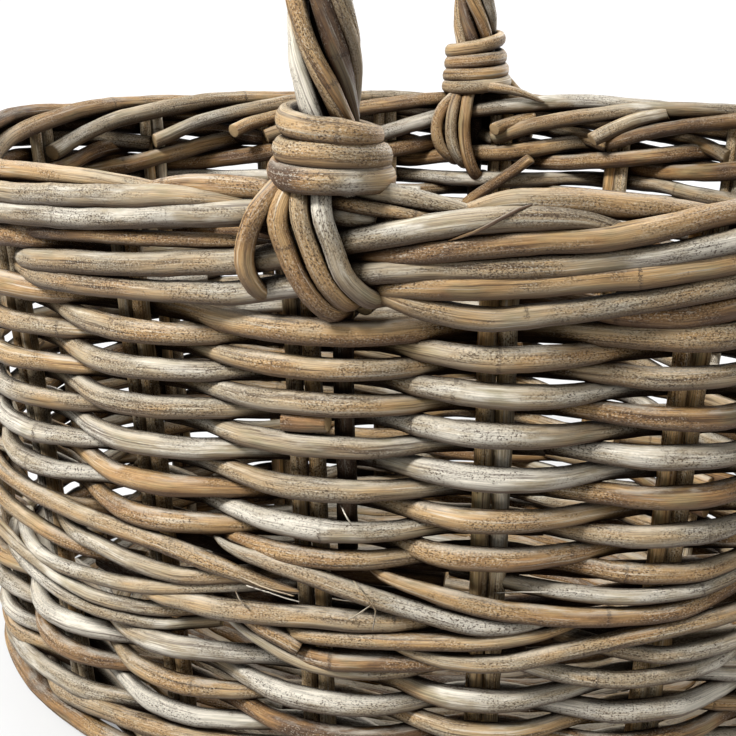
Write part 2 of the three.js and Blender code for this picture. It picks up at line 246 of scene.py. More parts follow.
def knot_distances(along):
    """Distance from each point of a cane to its nearest leaf knot."""
    places = [uniform(-120, 60) * MM]
    while places[-1] < along[-1]:
        places.append(places[-1] + uniform(130, 290) * MM)
    distances = along[:, None] - np.array(places)
    nearest = np.argmin(np.abs(distances), axis=1)
    return distances[np.arange(len(along)), nearest]


def end_factor(along, start, end):
    """Thickness of a cane near its ends: a cut end keeps it, a pointed one tapers."""
    factor = np.ones_like(along)
    for kind, distance in ((start, along), (end, along[-1] - along)):
        if kind == "pointed":
            factor *= TIP_THICKNESS + (1 - TIP_THICKNESS) * np.clip(distance / TIP_LENGTH, 0, 1) ** 0.6
    return factor


def add_ends(rings, tangent, turn, kinds):
    """Closes both ends of a cane with a slanting, bevelled saw cut or a small blunt tip."""
    closings = []
    for kind, ring, direction in ((kinds[0], rings[0], -tangent[0]), (kinds[1], rings[-1], tangent[-1])):
        centre = ring.mean(axis=0)
        slant = uniform(0.1, 0.8) * MM if kind == "cut" else 0
        facing = uniform(0, math.tau)
        push = (0.9 * MM + slant * (1 + np.cos(turn - facing)))[:, None] * direction
        edge = centre + (ring - centre) * 0.97 + push
        face = centre + (ring - centre) * (0.82 if kind == "cut" else 0.5) + push * 1.12
        closings.extend((edge, face))
    start_edge, start_face, end_edge, end_face = closings
    return np.concatenate([[start_face, start_edge], rings, [end_edge, end_face]])


def tube_faces(first, rings, sides):
    """Faces of a tube of rings with points numbered from first, and one face across each end."""
    faces = []
    last = first + (rings - 1) * sides
    for here in range(first, last, sides):
        there = here + sides
        for side in range(sides):
            onward = (side + 1) % sides
            faces.append((here + side, there + side, there + onward, here + onward))
    faces.append(tuple(range(first, first + sides)))
    faces.append(tuple(reversed(range(last, last + sides))))
    return faces


def add_cane(piece, points, across, width, height, tone, start="cut", end="cut", shade=1, sides=SIDES,
             swell=1, lumps=1):
    """Adds one cane along the points. Its width lies along across, and its height is square to it.

    shade is one brightness for the cane or one for each of its sides, and lumps is how uneven it is.
    """
    along = lengths_along(points)
    tangent = directions(points)
    across = unit(across - np.sum(across * tangent, axis=1)[:, None] * tangent)
    upward = np.cross(across, tangent)
    knot = knot_distances(along)
    tone = tone + TONE_DRIFT * wave(along, 230 * MM)
    size = swell * end_factor(along, start, end) * (1 + THICKNESS_DRIFT * lumps * wave(along, 90 * MM))
    size = size * (1 + KNOT_SWELL * lumps * np.exp(-((knot / KNOT_REACH) ** 2)))
    turn = np.linspace(0, math.tau, sides, endpoint=False)
    surface = np.ones((len(points), sides))
    for lobes in (1, 2, 3):
        phase = uniform(0, math.tau) + 0.9 * wave(along, 140 * MM)[:, None]
        surface += SURFACE_DRIFT * lumps * np.sin(lobes * turn + phase)
    radii = surface * np.asarray(size)[:, None]
    middle = points + WOBBLE * lumps * wave(along, 55 * MM)[:, None] * across
    middle = middle + WOBBLE * lumps * wave(along, 60 * MM)[:, None] * upward
    sideways = (width / 2 * np.cos(turn) * radii)[:, :, None] * across[:, None]
    vertical = (height / 2 * np.sin(turn) * radii)[:, :, None] * upward[:, None]
    rings = add_ends(middle[:, None, :] + sideways + vertical, tangent, turn, (start, end))
    along, knot, tone = (np.pad(values, 2, "edge") for values in (along, knot, tone))
    radius = (width + height) / 4
    shift = uniform(0, 50)
    grain = np.empty((len(rings), sides, 3))
    grain[:, :, 0] = along[:, None] + shift
    grain[:, :, 1] = radius * np.cos(turn) + shift
    grain[:, :, 2] = radius * np.sin(turn)
    tint = np.zeros((len(rings), sides, 3))
    tint[:, :, 0] = tone[:, None]
    tint[:, :, 1] = shade
    tint[0, :, 2] = start == "cut"
    tint[-1, :, 2] = end == "cut"
    piece.add(rings, grain, tint, knot)


def add_wall_cane(piece, route, tone, width=SIDING_WIDTH, height=SIDING_HEIGHT, stake_swell=0, **how):
    """Adds a cane that follows the wall along a route of distances, heights and offsets."""
    places = smooth_path(route)
    points, outward = wall_places(places)
    swell = 1 + stake_swell * np.cos(math.tau * (places[:, 0] - FIRST_PAIR_PLACE) / STAKE_STEP)
    add_cane(piece, points, outward, width, height, tone, swell=swell, **how)


# Materials

def linear(red, green, blue):
    """A colour as a screen shows it, from 0 to 255, in the renderer's linear numbers."""
    def channel(value):
        value /= 255
        return value / 12.92 if value <= 0.04045 else ((value + 0.055) / 1.055) ** 2.4
    return (channel(red), channel(green), channel(blue), 1)


class Graph:
    """Short ways to add and link the nodes of a material."""

    def __init__(self, tree):
        self.tree = tree
        tree.nodes.clear()

    def add(self, kind, inputs, **settings):
        node = self.tree.nodes.new("ShaderNode" + kind)
        for key, value in settings.items():
            setattr(node, key, value)
        for key, value in inputs.items():
            if isinstance(value, bpy.types.NodeSocket):
                self.tree.links.new(value, node.inputs[key])
            else:
                node.inputs[key].default_value = value
        return node

    def attribute(self, name, output):
        return self.add("Attribute", {}, attribute_name=name).outputs[output]

    def math(self, operation, first, second=0):
        return self.add("Math", {0: first, 1: second}, operation=operation).outputs[0]

    def plus(self, first, second):
        return self.math("ADD", first, second)

    def times(self, first, second):
        return self.math("MULTIPLY", first, second)

    def noise(self, vector, along, around, detail=3, roughness=0.6):
        """Noise with so many features a metre along the cane and across it."""
        scaled = self.add("VectorMath", {0: vector, 1: (along, around, around)}, operation="MULTIPLY")
        inputs = {"Vector": scaled.outputs[0], "Scale": 1, "Detail": detail, "Roughness": roughness}
        return self.add("TexNoise", inputs).outputs["Fac"]

    def between(self, value, low, high, start=0, stop=1):
        """Goes smoothly from start to stop while the value goes from low to high."""
        inputs = {"Value": value, "From Min": low, "From Max": high, "To Min": start, "To Max": stop}
        return self.add("MapRange", inputs, interpolation_type="SMOOTHSTEP").outputs["Result"]

    def mix(self, factor, first, second, blend="MIX"):
        inputs = {0: factor, 6: first, 7: second}
        return self.add("Mix", inputs, data_type="RGBA", blend_type=blend).outputs[2]

    def cover(self, colour, covering, value, low, high, strength):
        """Covers a colour with another, ever more while the value goes from low to high."""
        return self.mix(self.between(value, low, high, 0, strength), colour, covering)

    def brighten(self, colour, factor):
        grey = self.add("CombineColor", {0: factor, 1: factor, 2: factor}).outputs[0]
        return self.mix(1, colour, grey, "MULTIPLY")

    def ramp(self, factor, stops):
        node = self.add("ValToRGB", {"Fac": factor})
        elements = node.color_ramp.elements
        while len(elements) < len(stops):
            elements.new(0.5)
        for element, (position, colour) in zip(elements, stops):
            element.position = position
            element.color = colour
        return node.outputs["Color"]


SHADES = (
    (BLEACHED, linear(214, 206, 190)),
    (GREY, linear(168, 153, 127)),
    (BEIGE, linear(175, 150, 113)),
    (STRAW, linear(182, 147, 99)),
    (AMBER, linear(152, 115, 71)),
    (BROWN, linear(92, 65, 40)),
)
PITH = linear(186, 158, 116)
# Whitish colour of pale streaks and chips, also used for the painted highlight on up-facing sides
PALE_AND_HIGHLIGHT = linear(236, 228, 210)
LICHEN = linear(132, 126, 92)
RUST = linear(164, 119, 72)
# Dark bark colour of streaks, pits and knot rings, also used for painted shade on down-facing sides
BARK_AND_SHADE = linear(62, 39, 20)
# Painted shade colour for sheltered places: crevices and canes behind others
PAINTED_SHELTER_SHADE = linear(28, 14, 5)


def new_material(name):
    material = bpy.data.materials.new(name)
    material.use_nodes = True
    return material, Graph(material.node_tree)


def cane_patterns(graph):
    """Patterns that run along the cane, from broad stains to single fibres and fine flecks."""
    grain = graph.attribute("grain", "Vector")
    return SimpleNamespace(
        stains=graph.noise(grain, 11, 60, detail=4),
        patches=graph.noise(grain, 45, 170, detail=5, roughness=0.68),
        streaks=graph.noise(grain, 16, 620, detail=4, roughness=0.72),
        fibres=graph.noise(grain, 60, 2500, detail=2),
        flecks=graph.noise(grain, 1300, 2100, detail=2),
        fleck_area=graph.noise(grain, 30, 95),
    )


def wood_colour(graph, pattern, tone):
    """Colour of the bare cane: its shade, drifting by patches, with rust, lichen, bark, pale streaks and
    fibres.
    """
    drift = graph.plus(graph.times(pattern.stains, 1.3), graph.times(pattern.patches, 0.9))
    colour = graph.ramp(graph.math("SUBTRACT", graph.plus(drift, tone), 1.1), SHADES)
    colour = graph.cover(colour, RUST, pattern.stains, 0.56, 0.7, 0.3)
    colour = graph.cover(colour, LICHEN, pattern.fleck_area, 0.42, 0.3, 0.45)
    colour = graph.cover(colour, BARK_AND_SHADE, pattern.streaks, 0.52, 0.66, 0.8)
    colour = graph.cover(colour, PALE_AND_HIGHLIGHT, pattern.streaks, 0.44, 0.32, 0.5)
    return graph.brighten(colour, graph.between(pattern.fibres, 0.32, 0.68, 0.7, 1.18))


def cane_marks(graph, pattern):
    """Where the rough bark has pits and chips, and where the leaf knots leave a ring."""
    rough_bark = graph.between(pattern.fleck_area, 0.4, 0.56)
    pits = graph.times(graph.between(pattern.flecks, 0.55, 0.64), rough_bark)
    chips = graph.times(graph.between(pattern.flecks, 0.44, 0.36), rough_bark)
    knot = graph.attribute("knot", "Fac")
    from_ring = graph.plus(knot, graph.between(pattern.flecks, 0.2, 0.8, -1.1 * MM, 1.1 * MM))
    ring = graph.between(graph.math("ABSOLUTE", from_ring), 0.1 * MM, 0.6 * MM, 1, 0)
    return pits, chips, graph.times(ring, graph.between(pattern.patches, 0.4, 0.55))


def cane_material(name, roughness=0.56, top_highlight=0.5, sheltered_shade=1, underside_shade=0.88):
    """Weathered cane: bare wood with marks, a painted highlight on top, and painted shade underneath and
    where sheltered.
    """
    material, graph = new_material(name)
    tone, shade, pith = graph.add("SeparateXYZ", {0: graph.attribute("tint", "Vector")}).outputs
    pattern = cane_patterns(graph)
    pits, chips, ring = cane_marks(graph, pattern)
    colour = wood_colour(graph, pattern, tone)
    colour = graph.mix(graph.times(pits, 0.9), colour, BARK_AND_SHADE)
    colour = graph.mix(graph.times(chips, 0.4), colour, PALE_AND_HIGHLIGHT)
    colour = graph.mix(graph.times(ring, 0.8), colour, BARK_AND_SHADE)

    up = graph.add("SeparateXYZ", {0: graph.add("NewGeometry", {}).outputs["Normal"]}).outputs[2]
    # Painted highlight: up-facing sides turn whitish in patches, as if lit from above
    highlight_mask = graph.times(graph.between(up, 0.35, 0.95), graph.between(pattern.patches, 0.42, 0.6))
    colour = graph.mix(graph.times(highlight_mask, top_highlight), colour, PALE_AND_HIGHLIGHT)
    # Painted shade: down-facing sides turn dark
    colour = graph.cover(colour, BARK_AND_SHADE, up, 0.15, -0.75, underside_shade)
    # Painted shade: dark where ambient occlusion finds the cane sheltered, in crevices and behind other canes
    openness = graph.add("AmbientOcclusion", {"Distance": 30 * MM}, samples=8).outputs["AO"]
    colour = graph.cover(colour, PAINTED_SHELTER_SHADE, openness, 0.64, 0.26, 0.97 * sheltered_shade)
    colour = graph.mix(graph.times(pith, 0.7), colour, PITH)
    colour = graph.brighten(colour, shade)

    relief = 0
    for mark, height in (
        (pattern.streaks, -1.1), (pattern.fibres, 0.35), (pits, -0.6), (chips, 0.35), (ring, -0.5),
    ):
        relief = graph.plus(relief, graph.times(mark, height))
    bump = graph.add("Bump", {"Height": relief, "Strength": 0.9, "Distance": 0.7 * MM}).outputs[0]
    rough = graph.between(pattern.streaks, 0.3, 0.7, roughness - 0.08, roughness + 0.16)
    gloss = graph.between(openness, 0.25, 0.85, 0.04, 0.45)
    inputs = {"Base Color": colour, "Roughness": rough, "Specular IOR Level": gloss, "Normal": bump}
    shader = graph.add("BsdfPrincipled", inputs)
    graph.add("OutputMaterial", {"Surface": shader.outputs[0]})
    return material


# How strong each material's painted highlight on top, painted shade where sheltered and painted shade
# underneath are, and its roughness
CANE_LOOKS = {
    "base_cane": {"top_highlight": 0.4, "sheltered_shade": 0.5, "underside_shade": 0.3},
    "stake_cane": {"top_highlight": 0.3, "sheltered_shade": 0.25},
    "siding_cane": {},
    "wale_cane": {},
    "border_cane": {"top_highlight": 0.27},
    "handle_cane": {"top_highlight": 0.4, "roughness": 0.5},
    "collar_cane": {"top_highlight": 0.4, "roughness": 0.52},
    "tie_cane": {"top_highlight": 0.4, "roughness": 0.52},
}
materials = {slot: cane_material(slot, **look) for slot, look in CANE_LOOKS.items()}


def pick_tone(weights):
    """A cane's shade, drawn by the weights of bleached, grey, beige, straw, amber and brown canes."""
    shades = (BLEACHED, GREY, BEIGE, STRAW, AMBER, BROWN)
    return chance.choices(shades, weights)[0] + uniform(-0.06, 0.06)


SIDING_MIX = (3, 5, 5, 3, 2, 1)
WALE_MIX = (2, 3, 4, 4, 3, 2)
BORDER_MIX = (1, 4, 4, 2, 2, 1)
STAKE_MIX = (0, 3, 5, 4, 1, 0)
HANDLE_MIX = (2, 2, 3, 4, 3, 1)


# Stakes and base

def add_stakes():
    """Pairs of stakes. Each stake is lighter on one side, the same side for all: painted light, as though lit
    from there.
    """
    # Painted light: brightness by side, highest on the side that faces left at the front
    lit_side = 1.5 + 0.95 * np.sin(np.linspace(0, math.tau, SIDES, endpoint=False))
    foot = 3.4 * MM
    top = RIM_TOP - 9 * MM
    for stake in range(STAKE_COUNT):
        piece = Piece()
        for half in (-0.5, 0.5):
            place = stake_place(stake) + half * STAKE_SPACING
            lean = uniform(-0.6, 0.6) * MM
            route = [(place, foot, 0), (place + lean, 0.45 * RIM_TOP, 0), (place, top, 0)]
            width = STAKE_WIDTH * uniform(0.92, 1.06)
            add_wall_cane(piece, route, pick_tone(STAKE_MIX), width, width, shade=lit_side, lumps=0.6)
        piece.build(f"stakes_{stake + 1:02d}", "stake_cane", f"stake_pair_{stake + 1:02d}")


def add_level_cane(piece, points, width, mix, flatness=1):
    height = width * flatness
    # Drawn at 0.8 brightness: painted shade for the dark inside of the basket
    add_cane(piece, points, UPWARD, height, width, pick_tone(mix), sides=8, shade=0.8, lumps=0.7)


def add_base_round(piece, ring, height):
    """One round of the base. It passes over one spoke and under the next, and reaches out between them."""
    inset = BASE_FIRST_INSET + ring * BASE_PITCH
    reach = BASE_REACH * (1 - ring / BASE_ROUNDS)
    places = []
    levels = []
    for spoke in range(STAKE_COUNT):
        side = 1 if (spoke + ring) % 2 == 0 else -1
        places.append((stake_place(spoke), 0, -inset))
        places.append((stake_place(spoke) + STAKE_STEP / 2, 0, reach - inset))
        levels.extend((height + side * BASE_WAVE, height))
    points = wall_places(places)[0]
    points[:, 2] = levels
    points = smooth_path(np.concatenate([points, points[:2]]))
    add_level_cane(piece, points, BASE_ROUND_WIDTH, BORDER_MIX)


def add_base_spoke(piece, stake, height):
    """One spoke of the base, from the middle out to a stake pair."""
    outer = wall_places([(stake_place(stake), 0, -5 * MM)])[0][0]
    angle = oval_angle(stake_place(stake))
    inner = (MIDDLE_HALF_LENGTH * math.cos(angle), MIDDLE_HALF_WIDTH * math.sin(angle))
    ends = [(outer[0], outer[1], height), (inner[0], inner[1], height)]
    add_level_cane(piece, smooth_path(ends), BASE_SPOKE_WIDTH, STAKE_MIX)


def add_base_rods(piece, count, spread, reach, height, crosswise):
    """Parallel rods of the base's middle, each as long as the oval is there."""
    for rod in range(count):
        place = (2 * rod / (count - 1) - 1) * (spread - BASE_ROD_WIDTH / 2)
        length = reach * math.sqrt(1 - (place / spread) ** 2) + BASE_ROD_TUCK
        ends = [(-length, place, height), (length, place, height)]
        if crosswise:
            ends = [(place, -length, height), (place, length, height)]
        add_level_cane(piece, smooth_path(ends), BASE_ROD_WIDTH, BORDER_MIX, flatness=0.9)


def add_base():
    """The oval base, with its rounds, spokes and rods."""
    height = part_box("base_panel")[1].z / 2
    piece = Piece()
    for ring in range(BASE_ROUNDS):
        add_base_round(piece, ring, height)
    for stake in range(STAKE_COUNT):
        add_base_spoke(piece, stake, height)
    add_base_rods(piece, 9, MIDDLE_HALF_WIDTH, MIDDLE_HALF_LENGTH, height + 1.4 * MM, crosswise=False)
    add_base_rods(piece, 26, MIDDLE_HALF_LENGTH, MIDDLE_HALF_WIDTH, height - 1.2 * MM, crosswise=True)
    piece.build("base_weave", "base_cane", "base_panel")


def add_foot_ring():
    """The thick cane that the basket stands on."""
    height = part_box("foot_ring")[0].z + FOOT_WIDTH / 2
    offset = STAKE_WIDTH / 2 + FOOT_WIDTH / 2
    start = OVAL_LENGTH * 0.62
    steps = np.linspace(0, STAKE_COUNT - 0.04, 40)
    route = [(start + step * STAKE_STEP, height, offset) for step in steps]
    piece = Piece()
    add_wall_cane(piece, route, AMBER, FOOT_WIDTH, FOOT_WIDTH, lumps=0.4)
    piece.build("foot_rod", "base_cane", "foot_ring")


# Woven bands

def crossing(stake, height, side, rise=0):
    """Two places on the route of a cane that passes a stake pair, outside it or inside it."""
    place = stake_place(stake)
    reach_on = BOW_REACH if stake % (STAKE_COUNT // 2) == 0 else PAIR_REACH
    offset = side * WEAVE_OFFSET
    return [(place - PAIR_REACH, height - rise, offset), (place + reach_on, height + rise, offset)]


def band_heights(node_prefix, canes, rows):
    """Heights of the rows of a band, worked out from the boxes of its canes."""
    boxes = [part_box(f"{node_prefix}_cane_{cane + 1}") for cane in range(canes)]
    bottom = min(low.z for low, _ in boxes)
    top = max(high.z for _, high in boxes)
    pitch = (top - bottom) / rows
    return [bottom + (row + 0.5) * pitch for row in range(rows)]


# Where the courses in front bow up: by how much, place along the rim and reach, depth below it and reach
COURSE_LIFTS = (
    (4.8, 22, 92, 78, 27),
    (4.6, 20, 80, 137, 4),
    (4, -62, 35, 189, 4),
)


def course_lift(distance, height):
    """How far a course bows up: in front as in the photographed basket, elsewhere in a slight wave."""
    beside = (distance + OVAL_LENGTH / 2) % OVAL_LENGTH - OVAL_LENGTH / 2
    below_rim = RIM_TOP - height
    lifted = 0
    for lift, place, reach, depth, depth_reach in COURSE_LIFTS:
        sideways = (beside - place * MM) / (reach * MM)
        downward = (below_rim - depth * MM) / (depth_reach * MM)
        lifted += lift * MM * math.exp(-(sideways ** 2) - downward ** 2)
    around = 1.3 * MM * math.sin(3.1 * distance / STAKE_STEP / 2 + 40 * height)
    front = math.exp(-((beside / (150 * MM)) ** 2))
    return lifted + around * (1 - front)


# Shades and sizes of the upper siding's courses in front, from the lowest up
FRONT_SIDING = (
    (STRAW + 0.04, 0.92), (STRAW + 0.02, 1.04), (GREY - 0.02, 1), (STRAW - 0.04, 1.02), (GREY + 0.02, 1),
    (BLEACHED + 0.12, 1.06), (GREY + 0.06, 0.97), (BLEACHED + 0.16, 1.05), (BEIGE + 0.02, 1),
    (GREY + 0.06, 1.04), (BEIGE + 0.06, 0.98), (GREY + 0.12, 1.04), (STRAW - 0.02, 1.14),
)


def siding_look(name, row, start, stop):
    in_front = start < STAKE_COUNT <= stop + 1 or start == 0
    if name == "upper_siding" and in_front:
        return FRONT_SIDING[row]
    return pick_tone(SIDING_MIX), uniform(0.95, 1.06)


def add_siding_row(piece, name, row, course, height):
    """One round of the siding, pieced from several canes whose ends lie inside the wall.

    It passes inside the stake pairs that with its course give an odd number, and outside the others.
    """
    inside_stakes = [stake for stake in range(STAKE_COUNT) if (stake + course) % 2]
    starts = sorted(chance.sample(inside_stakes, chance.choice((2, 3))))
    for start, stop in zip(starts, starts[1:] + [starts[0] + STAKE_COUNT]):
        route = [
            (stake_place(start) - 21 * MM, height, -WEAVE_OFFSET - 6.5 * MM),
            (stake_place(start) - 2 * MM, height, -WEAVE_OFFSET - 5.5 * MM),
        ]
        for stake in range(start + 1, stop):
            route.extend(crossing(stake, height, -1 if (stake + course) % 2 else 1))
        route.append((stake_place(stop) - PAIR_REACH, height, -WEAVE_OFFSET))
        route.append((stake_place(stop) + 19 * MM, height, -WEAVE_OFFSET + 1 * MM))
        route = [(at, level + course_lift(at, level), offset) for at, level, offset in route]
        tone, size = siding_look(name, row, start, stop)
        add_wall_cane(piece, route, tone, SIDING_WIDTH * size, SIDING_HEIGHT * size, stake_swell=0.075)


def add_siding(name, rows, first_course, front=()):
    """A band of siding, whose courses take two canes in turn."""
    heights = band_heights(name, 2, rows)
    for cane in range(2):
        piece = Piece()
        for row in range(cane, rows, 2):
            add_siding_row(piece, name, row, row + first_course, heights[row])
        for look in front[cane::2]:
            add_front_cane(piece, *look)
        piece.build(f"{name}_canes_{cane + 1}", "siding_cane", f"{name}_cane_{cane + 1}")


def add_wale(name, rows, slope, phase=0, first_stake=1, last_stake=None, front=(), fibres=()):
    """Three canes in turn, each outside two stake pairs and inside one. Its strokes slant by slope.

    Without a last_stake they go once round, and with one they leave the front to the canes in front.
    """
    heights = band_heights(name, 3, rows)
    for cane in range(3):
        piece = Piece()
        start = first_stake + -(first_stake + cane + phase) % 3
        stop = start + STAKE_COUNT if last_stake is None else last_stake - (last_stake - start) % 3
        for first_row in range(0, rows, 3):
            middle = heights[first_row + 1]
            route = []
            for stake in range(start, stop + 1):
                place = (stake + cane + phase) % 3
                if place == 0:
                    route.extend(crossing(stake, middle, -1, -slope * PAIR_REACH))
                else:
                    level = middle + slope * (place - 1.5) * STAKE_STEP
                    route.extend(crossing(stake, level, 1, slope * PAIR_REACH))
            if last_stake is None:
                route.pop()
            tone = pick_tone(WALE_MIX)
            add_wall_cane(piece, route, tone, WALE_WIDTH, WALE_HEIGHT, stake_swell=0.04, end="pointed")
        for look in front[cane::3]:
            add_front_cane(piece, *look)
        for places in fibres[cane::3]:
            add_front_cane(piece, BLEACHED + 0.12, FIBRE_THICKNESS, CUT, *places)
        piece.build(f"{name}_canes_{cane + 1}", "wale_cane", f"{name}_cane_{cane + 1}")


def from_rim(places, start=0):
    """A route given in millimetres: along the rim from a start, over the rim and outward."""
    return [(start + distance * MM, RIM_TOP + over * MM, offset * MM) for distance, over, offset in places]


def add_front_cane(piece, tone, thickness, ends, *places, start=0, shade=1):
    """Adds a single cane with a thickness and places in millimetres."""
    height = thickness * MM
    route = from_rim(places, start)
    add_wall_cane(piece, route, tone, 0.88 * height, height, start=ends[0], end=ends[1], shade=shade)


CUT = ("cut", "cut")
TIP_CUT = ("pointed", "cut")
CUT_TIP = ("cut", "pointed")
TIPS = ("pointed", "pointed")

# Cane end that pokes out of the siding in front of the first stake pair: shade, thickness, ends and places
BUTT_END = (STRAW - 0.08, 7.6, CUT, (-15, -78.6, 7.4), (-8, -78.2, 7.7), (-1, -77.6, 7.5))

# Canes of the middle band in front, from the left: shade, thickness, ends and places
FRONT_BAND = (
    (STRAW - 0.02, 7.8, CUT_TIP, (-218, -135, -5), (-196, -133, 4), (-170, -133, 9), (-120, -135, 9.6),
     (-94, -136, 9.6), (-69, -137.6, 9.8), (-46, -141.5, 9.8), (-29, -144.9, 9.6), (-14, -147.2, 8.6)),
    (GREY + 0.08, 7.2, CUT, (-150, -146, -4), (-125, -147, 6), (-98, -148, 9.4), (-78, -150, 9.6),
     (-60, -149.4, 9), (-41, -146.6, 5.6), (-20, -144, -2)),
    (GREY - 0.02, 6.4, CUT, (-195, -166, -5), (-172, -166, 4), (-147, -165, 9), (-99, -162.4, 9),
     (-65, -156, 8.4), (-39, -151, 5), (-15, -148, -3)),
    (STRAW + 0.06, 7.4, CUT, (-285, -140, -5), (-262, -140, 4), (-215, -143, 9.4), (-147, -150, 9.4),
     (-122, -155, 5), (-95, -157, -4)),
    (GREY, 6.2, CUT, (-285, -159, -5), (-262, -159, 4), (-215, -163, 9.2), (-147, -171, 9.2),
     (-100, -172.5, 9), (-84, -172, 5.6), (-60, -170, -4)),
    (GREY + 0.05, 6.2, CUT, (-218, -174, -5), (-190, -176, 5), (-147, -178.6, 9), (-100, -179, 8.6),
     (-80, -178.4, 4), (-58, -176, -5)),
    (BLEACHED + 0.1, 7.6, TIPS, (-50, -133, 3), (-42, -134.7, 6.5), (-24, -136.5, 9.2),
     (-4, -139.9, 9.8), (15, -145.4, 9.9), (29, -148.9, 9.9), (51, -153.9, 9.7), (64, -155, 9.2),
     (78, -154.4, 6.5), (90, -152.5, 2)),
    (BEIGE - 0.02, 8.8, TIP_CUT, (-92, -164, 5), (-78, -162.8, 8.6), (-53, -160.4, 10), (-30, -158.9, 10.2),
     (-5, -157, 9.8), (15, -156.6, 8), (30, -157, 4), (52, -158, -4)),
    (BEIGE + 0.02, 7.2, CUT, (-54, -157, 0), (-40, -161.6, 5.5), (-30, -164.8, 9), (-22, -167.6, 9.8),
     (-15.5, -170.2, 10.2)),
    (BLEACHED + 0.12, 5.4, TIP_CUT, (-58, -161, 2), (-44, -166.6, 6.5), (-31, -171.6, 8.8),
     (-17, -176.8, 9.2), (0, -180.6, 8.6), (20, -181.6, 4), (40, -180, -4)),
    (BROWN - 0.12, 7.6, CUT, (-44, -171, -5), (-26, -173.6, 3), (-12, -175.4, 7.6), (0, -175.4, 8.6),
     (15, -174.6, 8.4), (33, -173.9, 6.6), (52, -174, 1), (72, -174, -5)),
    (STRAW, 6.8, CUT_TIP, (-30, -168, -1), (-20, -166.8, 5), (-13, -165.8, 8.6), (0, -164.8, 9.7),
     (15, -163.8, 9.8), (37, -162.6, 9.8), (61, -161, 9.7), (75, -159.3, 8.4), (89, -157.3, 5),
     (100, -156, 1)),
    (BROWN - 0.16, 7.6, TIP_CUT, (10, -135, 1), (19, -137.6, 6), (32, -139.9, 9), (46, -144.2, 9.7),
     (60, -147.3, 9.8), (79, -149.4, 9.6), (108, -151.6, 9.2), (130, -151, 8.4), (150, -148.6, 3),
     (172, -146, -5)),
    (STRAW - 0.08, 7.2, TIP_CUT, (18, -166.6, 4), (28, -168.5, 7.8), (42, -170.1, 9.8), (60, -170.5, 10),
     (80, -167.3, 9.8), (94, -164, 9.6), (109, -160.8, 9.4), (126, -158.4, 9.2), (150, -156.5, 8),
     (175, -155, 2), (198, -153, -5)),
    (GREY + 0.06, 6.4, CUT, (45, -139, -6), (68, -140.9, 1), (88, -141.7, 6), (107, -143, 8.8),
     (128, -143.4, 9), (150, -142, 5), (172, -140, -5)),
    (GREY + 0.02, 7.2, CUT, (55, -172, -5), (73, -174.4, 3), (91, -176.9, 7.8), (111, -179, 9),
     (126, -179.4, 9.2), (150, -178, 6), (172, -176, -5)),
    (BEIGE, 7.2, CUT, (88, -166, -5), (106, -168, 3), (126, -169.6, 9), (160, -167, 9), (195, -164, 9),
     (222, -162, 3), (245, -160, -5)),
    (BROWN - 0.06, 7.6, CUT, (-130, -144, -9), (-70, -141.6, -8), (-10, -145, -8), (40, -147, -9.5)),
    (BROWN, 7.6, CUT, (-60, -151, -10), (-10, -153, -8), (60, -156, -8), (126, -150, -9)),
    (BROWN - 0.04, 7.6, CUT, (-100, -161, -10), (-60, -163, -8), (0, -163, -8), (75, -163, -9)),
    (BROWN, 7.6, CUT, (-130, -169, -9), (-70, -171, -8), (0, -172.4, -8), (60, -171, -8), (126, -166, -9)),
    (BROWN - 0.1, 7.6, CUT, (-40, -180, -9.5), (0, -181, -8), (60, -180, -8), (126, -175, -9)),
    (BROWN - 0.06, 7.6, CUT, (20, -138.5, -9), (60, -137.5, -8), (126, -142, -8), (160, -144, -9)),
    (BEIGE - 0.04, 7.4, CUT, (150, -151, -8), (168, -149, 3), (190, -147, 8.6), (215, -146.6, 8.6),
     (240, -146, 3), (262, -146, -7)),
    (STRAW, 7.6, CUT, (190, -157, -8), (214, -154.6, 4), (240, -154, 8.6), (285, -155, 9), (312, -157.6, 5),
     (342, -158, -6)),
    (GREY + 0.06, 7.2, CUT, (145, -184, -8), (170, -181, 4), (192, -178.8, 8.6), (215, -178.8, 8.6),
     (240, -181, 4), (262, -182, -7)),
    (GREY - 0.02, 7.6, CUT, (190, -172, -8), (214, -171.6, 3), (242, -172.6, 8.6), (276, -174, 8.8),
     (300, -178, 4), (325, -181, -6)),
    (STRAW + 0.04, 7.6, CUT, (140, -159, -9), (195, -159, -8), (262, -163.4, -8), (305, -165, -9)),
    (BEIGE, 7.6, CUT, (140, -176, -9), (195, -179, -8), (262, -174, -8), (305, -173, -9)),
)

# Splinters and loose fibres of the middle band
FIBRE_THICKNESS = 0.55
FRONT_FIBRES = (
    ((-34, -143, 12.6), (-26, -144.6, 13.4), (-15, -146, 14)),
    ((-31, -146, 12.8), (-22, -147, 13.4), (-12.6, -148.8, 13)),
    ((-37.1, -150.8, 12), (-35, -152, 14), (-32.7, -154.4, 14)),
    ((11.1, -139.4, 13), (14, -142, 15), (17.4, -146.7, 14.4), (16.5, -155.9, 13.4)),
    ((14, -148, 14), (10, -151, 15.6), (8, -153, 14)),
    ((5.4, -110, 10), (7.4, -111.4, 13), (8.6, -114.5, 12)),
    ((63, -143, 5), (75, -140.4, 9), (88, -139, 11)),
)


# Border

# A border cane from its stake on: out over the wall, rising over three pairs, over the rim and down inside
BORDER_STROKE = (
    (4, -24, -3), (26, -20.192, 6.2), (62, -16.304, 9.2), (110, -11.12, 9.2), (160, -5.72, 8.2),
    (200, -2.5, 4.5), (238, -2, -3.5), (276, -5.5, -8.4), (310, -11.5, -9.2), (343, -21, -10.5),
)
FIRST_FREE_STAKE = 3
LAST_FREE_STAKE = 12

